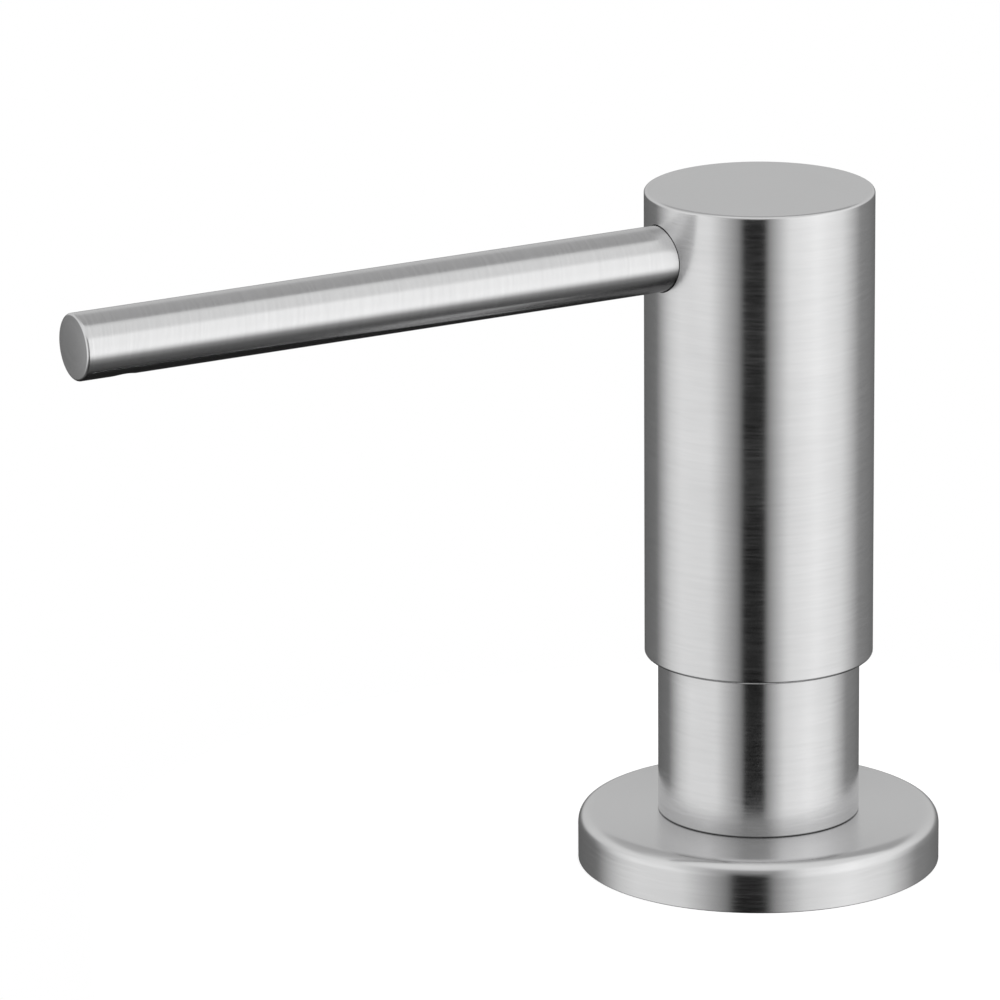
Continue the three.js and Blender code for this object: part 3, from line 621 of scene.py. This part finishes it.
def shank():
    """The threaded shank, with a plain stretch above its neck."""
    low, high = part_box("shank")
    outside = high[0]
    root = outside - THREAD_DEPTH
    bore = root - SHANK_WALL
    neck = root - SHANK_NECK_CUT

    def column(angle):
        rows = []
        for radius, height in thread_rows(root, low[2], -SHANK_NECK, angle):
            rows.append((min(radius, outside - SHANK_CHAMFER + (height - low[2])), height))
        plain = [
            (neck, -SHANK_NECK),
            (neck, 0.0),
            (outside, 0.0),
            (outside, high[2] - SHANK_CHAMFER),
            (outside - SHANK_CHAMFER, high[2]),
            (bore, high[2]),
        ]
        return [(bore, low[2]), *rows, *plain]

    return placed(screwed("shank_piece", column), "shank", bright_steel)


def mounting_nut():
    """A nut with a flange, wings to turn it by, and the shank's thread inside."""
    low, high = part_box("mounting_nut")
    rim = high[0]
    root = reach("shank") - THREAD_DEPTH
    hub = reach("shank") + THREAD_CLEARANCE + NUT_HUB_WALL
    wing_reach = rim - WING_INSET
    flange_edge = WING_EDGE / 2
    foot = low[2]
    step = high[2] - NUT_FLANGE
    between_wings = 2 * math.pi / NUT_WINGS

    def column(angle):
        inner = thread_rows(root, low[2], high[2], angle, THREAD_CLEARANCE)
        from_wing = abs((angle / between_wings) % 1 - 0.5) * between_wings
        wing_side = WING_THICKNESS / 2 / max(math.sin(from_wing), 1e-6)
        out = min(max(hub, wing_side), wing_reach)
        return [
            *reversed(inner),
            (out - WING_EDGE, foot),
            (out, foot + WING_EDGE),
            (out, step),
            (rim - flange_edge, step),
            (rim, step + flange_edge),
            (rim, high[2] - flange_edge),
            (rim - flange_edge, high[2]),
        ]

    return placed(screwed("mounting_nut_piece", column, 2 * THREAD_SEGMENTS), "mounting_nut", black_plastic)


def bottle():
    """The bottle. Its outside and its inside come from the node, and its neck gets the thread inside."""
    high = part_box("bottle")[1]
    root = reach("shank") - THREAD_DEPTH
    outer = outline("bottle")[0]
    inner = outline("bottle", first=1)[0]
    top = next(i for i, point in enumerate(outer) if point[1] > high[2] - TOUCHING)
    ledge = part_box("bottle_gasket")[0][2]
    mouth = next(i for i, point in enumerate(inner) if abs(point[1] - ledge) < TOUCHING)
    outside = rounded(outer[: top + 1], False, BOTTLE_EDGE, BROAD_CORNER_STEPS)
    inside = rounded(inner[: mouth + 1], False, BOTTLE_INNER_EDGE, BROAD_CORNER_STEPS)

    def column(angle):
        thread = thread_rows(root, ledge, high[2], angle, THREAD_CLEARANCE)
        return [*outside, *reversed(thread), *reversed(inside)]

    piece = placed(screwed("bottle_piece", column), "bottle", natural_plastic)
    # The deck doesn't show in reflections, so neither does what it would hide from the spout.
    piece.visible_glossy = False
    return piece


def return_spring():
    """A coil of round wire whose end turns lie flat. It shortens as the head goes down."""
    low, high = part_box("return_spring")
    coil = high[0] - WIRE_RADIUS
    closed_pitch = 2 * WIRE_RADIUS
    length = high[2] - low[2] - closed_pitch
    pitch = (length - 2 * closed_pitch) / (SPRING_TURNS - 2)
    rim_angles = [2 * math.pi * k / POINTS_ROUND_WIRE for k in range(POINTS_ROUND_WIRE)]
    mesh = bmesh.new()
    grid = []
    for i in range(SPRING_TURNS * POINTS_PER_TURN + 1):
        turn = i / POINTS_PER_TURN
        closed_part = min(turn, 1) + max(turn - SPRING_TURNS + 1, 0)
        height = low[2] + WIRE_RADIUS + closed_part * closed_pitch + (turn - closed_part) * pitch
        angle = 2 * math.pi * turn
        out = Vector((math.cos(angle), math.sin(angle), 0))
        middle = out * coil + UP * height
        rim = [middle + (out * math.cos(t) + UP * math.sin(t)) * WIRE_RADIUS for t in rim_angles]
        grid.append([mesh.verts.new(point) for point in rim])
    for left, right in zip(grid, grid[1:]):
        for j in range(POINTS_ROUND_WIRE):
            k = (j + 1) % POINTS_ROUND_WIRE
            mesh.faces.new((left[j], right[j], right[k], left[k]))
    mesh.faces.new(reversed(grid[0]))
    mesh.faces.new(grid[-1])
    piece = placed(finished("return_spring_piece", mesh, sharp=True), "return_spring", spring_steel)
    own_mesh(piece)
    return piece


def dip_tube():
    """The dip tube, with its tip cut on a slant so that it can't seal itself against the bottle's floor."""
    points, closed = outline("dip_tube")
    low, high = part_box("dip_tube")
    radius = high[0]
    halfway = (low[2] + high[2]) / 2
    points = [(r, low[2] if h < halfway else h) for r, h in points]
    piece = turned("dip_tube_piece", rounded(points, closed, KEEN_EDGE), closed, SMALL_SEGMENTS)
    block_half = 4 * radius
    mesh = bmesh.new()
    bmesh.ops.create_cube(mesh, size=2 * block_half)
    cut_height = Matrix.Translation((0, 0, low[2] + radius * math.tan(TUBE_SLANT)))
    block_place = cut_height @ Matrix.Rotation(TUBE_SLANT, 4, "X") @ Matrix.Translation((0, 0, -block_half))
    bmesh.ops.transform(mesh, verts=mesh.verts, matrix=block_place)
    return placed(drilled(piece, finished("drill", mesh, sharp=True)), "dip_tube", natural_plastic)


def head_core():
    """The core, with the spout's and the liner's seats and the soap's channel cut into it."""
    points, closed = outline("head_core")
    piece = turned("head_core_piece", rounded(points, closed), closed, SMALL_SEGMENTS)
    far = 2 * reach("head_shell")
    tools = [drill(reach("spout_liner") * CORE_CHANNEL, 0.0, far, spout_axis, spout_centre)]
    for node in ("spout_tube", "spout_liner"):
        start = -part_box(node)[1][1] - CORE_FIT
        tools.append(drill(reach(node) + CORE_FIT, start, far, spout_axis, spout_centre))
    return placed(drilled(piece, *tools), "head_core", grey_plastic)


head_shell()
fine("sleeve", sleeve_steel_painted_shade)
fine("flange", steel)
spout_tube()
spout_cap()
fine("spout_liner", natural_plastic, SMALL_SEGMENTS, KEEN_EDGE, **spout_frame)
outlet_nozzle()
head_core()
fine("guide_band", white_plastic, SEGMENTS, 0.05 * MM)
fine("core_oring", black_rubber, SMALL_SEGMENTS)
fine("flange_gasket", black_rubber)
shank()
fine("rubber_washer", black_rubber, SEGMENTS, 0.4 * MM)
fine("steel_washer", bright_steel, SEGMENTS, 0.2 * MM)
mounting_nut()
bottle()
fine("bottle_gasket", black_rubber, SMALL_SEGMENTS)
fine("pump_collar", grey_plastic, SEGMENTS, 0.25 * MM)
fine("collar_oring", black_rubber)
fine("pump_cylinder", white_plastic, SMALL_SEGMENTS, 0.3 * MM)
fine("stem_guide", grey_plastic, SMALL_SEGMENTS, 0.2 * MM)
return_spring()
dip_tube()
fine("pump_stem", white_plastic, SMALL_SEGMENTS, 0.2 * MM)
fine("piston_seal", natural_plastic, SMALL_SEGMENTS, KEEN_EDGE)
fine("piston_retainer", white_plastic, SMALL_SEGMENTS)
for valve_ball in ("inlet_ball", "outlet_ball"):
    low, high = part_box(valve_ball)
    middle = Vector((0, 0, (low[2] + high[2]) / 2))
    fine(valve_ball, bright_steel, SMALL_SEGMENTS, centre=middle)
for node, kept_material in {"inlet_cage": white_plastic, "outlet_elbow": black_plastic}.items():
    kept = frame["nodes"][node]
    kept.data.materials.clear()
    kept.data.materials.append(kept_material)


# ---------------------------------------------------------------- the deck, the light and the camera


def deck():
    """The pale deck that the dispenser is clamped to."""
    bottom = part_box("rubber_washer")[1][2]
    corners = [(DECK_HOLE, bottom), (DECK_RADIUS, bottom), (DECK_RADIUS, 0.0), (DECK_HOLE, 0.0)]
    slab = turned("deck", rounded(corners, True, DECK_EDGE, BROAD_CORNER_STEPS), True)
    made, nodes, shader = material("deck_pale")
    place = nodes.add("ShaderNodeTexCoord").outputs["Object"]
    grey = nodes.mapped(nodes.noise(place, 25.0, 3.0, 0.5), 0.3, 0.7, 0.86, 0.89)
    colour = nodes.add("ShaderNodeCombineColor", {"Red": grey, "Green": grey, "Blue": grey})
    link(nodes, colour.outputs["Color"], shader, "Base Color")
    shader.inputs["Roughness"].default_value = 0.7
    shader.inputs["Emission Color"].default_value = (1, 1, 1, 1)
    shader.inputs["Emission Strength"].default_value = DECK_GLOW
    slab.data.materials.append(made)
    slab.visible_glossy = False


# The studio is a large soft box on each side, which fades towards its ends, and a dark strip behind the
# camera. Brightness by bearing, in degrees to the right of the camera's direction from the object:
LIGHT_BELOW_LEVEL = [
    (-180, 0.10),
    (-125, 0.20),
    (-100, 0.85),
    (-85, 1.05),
    (-50, 1.05),
    (-20, 0.30),
    (-15, 0.0),
    (5, 0.0),
    (10, 0.35),
    (30, 1.05),
    (60, 1.25),
    (90, 1.00),
    (120, 0.30),
    (180, 0.10),
]
LIGHT_ABOVE_LEVEL = [
    (-180, 0.60),
    (-60, 0.95),
    (-15, 0.30),
    (10, 0.35),
    (30, 1.00),
    (60, 1.20),
    (130, 0.75),
    (180, 0.60),
]
LIGHT_OVERHEAD = [
    (-180, 0.45),
    (-110, 0.50),
    (-60, 0.90),
    (60, 0.85),
    (100, 0.90),
    (110, 0.40),
    (180, 0.45),
]
# The heights, in degrees above level, over which each of those gives way to the one after it
WALL_BLEND = (-8.0, 8.0)
OVERHEAD_BLEND = (27.0, 40.0)
# How much of that light there is at each height, in degrees above level: little comes up from the floor
LIGHT_TOWARDS_FLOOR = [(-90, 0.05), (-50, 0.10), (-35, 0.25), (-20, 0.90), (-15, 1.0), (0, 1.0)]


def studio():
    """The soft light, as a world that depends only on the direction, and a white background."""
    world = bpy.data.worlds.new("studio")
    bpy.context.scene.world = world
    world.use_nodes = True
    world.node_tree.nodes.clear()
    nodes = Nodes(world.node_tree)
    direction = nodes.add("ShaderNodeTexCoord").outputs["Generated"]
    x, y, z = nodes.add("ShaderNodeSeparateXYZ", {"Vector": direction}).outputs

    def along(east, north):
        return nodes.math("ADD", nodes.math("MULTIPLY", x, east), nodes.math("MULTIPLY", y, north))

    towards = along(math.cos(CAMERA_BEARING), math.sin(CAMERA_BEARING))
    rightwards = along(-math.sin(CAMERA_BEARING), math.cos(CAMERA_BEARING))
    bearing = nodes.math("DEGREES", nodes.math("ARCTAN2", rightwards, towards))
    height = nodes.math("DEGREES", nodes.math("ARCSINE", z))
    around = nodes.mapped(bearing, -180.0, 180.0, 0.0, 1.0)

    def by_bearing(stops):
        return nodes.ramp(around, [((degrees + 180) / 360, grey) for degrees, grey in stops])

    low = by_bearing(LIGHT_BELOW_LEVEL)
    high = by_bearing(LIGHT_ABOVE_LEVEL)
    overhead = by_bearing(LIGHT_OVERHEAD)

    def blended(factor, a, b):
        node = nodes.add("ShaderNodeMix", data_type="RGBA")
        colours = [socket for socket in node.inputs if socket.type == "RGBA"]
        nodes.tree.links.new(factor, node.inputs[0])
        for socket, value in zip(colours, (a, b)):
            nodes.tree.links.new(value, socket)
        return next(socket for socket in node.outputs if socket.type == "RGBA")

    walls = blended(nodes.mapped(height, *WALL_BLEND, 0.0, 1.0, smooth=True), low, high)
    room = blended(nodes.mapped(height, *OVERHEAD_BLEND, 0.0, 1.0, smooth=True), walls, overhead)
    from_below = nodes.mapped(height, -90.0, 0.0, 0.0, 1.0)
    floor_stops = [((degrees + 90) / 90, share) for degrees, share in LIGHT_TOWARDS_FLOOR]
    floor_side = nodes.ramp(from_below, floor_stops)
    room = nodes.add("ShaderNodeVectorMath", {0: room, 1: floor_side}, operation="MULTIPLY").outputs[0]
    light = nodes.add("ShaderNodeBackground", {"Color": room, "Strength": 1.0})
    backdrop = nodes.add("ShaderNodeBackground", {"Color": (1, 1, 1, 1), "Strength": 1.0})
    path = nodes.add("ShaderNodeLightPath").outputs
    # The white background is also what shows through translucent plastic.
    seen = nodes.math("MAXIMUM", path["Is Camera Ray"], path["Is Transmission Ray"])
    mixed = nodes.add("ShaderNodeMixShader", {0: seen, 1: light.outputs[0], 2: backdrop.outputs[0]})
    nodes.add("ShaderNodeOutputWorld", {"Surface": mixed.outputs[0]})


def camera():
    """A long lens that looks down a little on the object from its right and somewhat in front."""
    data = bpy.data.cameras.new("camera")
    data.lens = CAMERA_LENS
    data.sensor_width = CAMERA_SENSOR
    data.clip_start = CAMERA_NEAREST
    made = bpy.data.objects.new("camera", data)
    bpy.context.scene.collection.objects.link(made)
    out = Vector((math.cos(CAMERA_BEARING), math.sin(CAMERA_BEARING), 0))
    place = out * CAMERA_DISTANCE + UP * CAMERA_HEIGHT
    heading = CAMERA_BEARING + math.pi - CAMERA_TURN
    level = math.cos(CAMERA_TILT)
    ahead = Vector((math.cos(heading) * level, math.sin(heading) * level, -math.sin(CAMERA_TILT)))
    right = Vector((math.sin(heading), -math.cos(heading), 0))
    up = right.cross(ahead)
    rolled_right = right * math.cos(CAMERA_ROLL) + up * math.sin(CAMERA_ROLL)
    rolled_up = up * math.cos(CAMERA_ROLL) - right * math.sin(CAMERA_ROLL)
    turn = Matrix((rolled_right, rolled_up, -ahead)).transposed().to_4x4()
    made.matrix_world = Matrix.Translation(place) @ turn
    bpy.context.scene.camera = made


deck()
studio()
camera()
bpy.context.scene.view_settings.view_transform = "Standard"
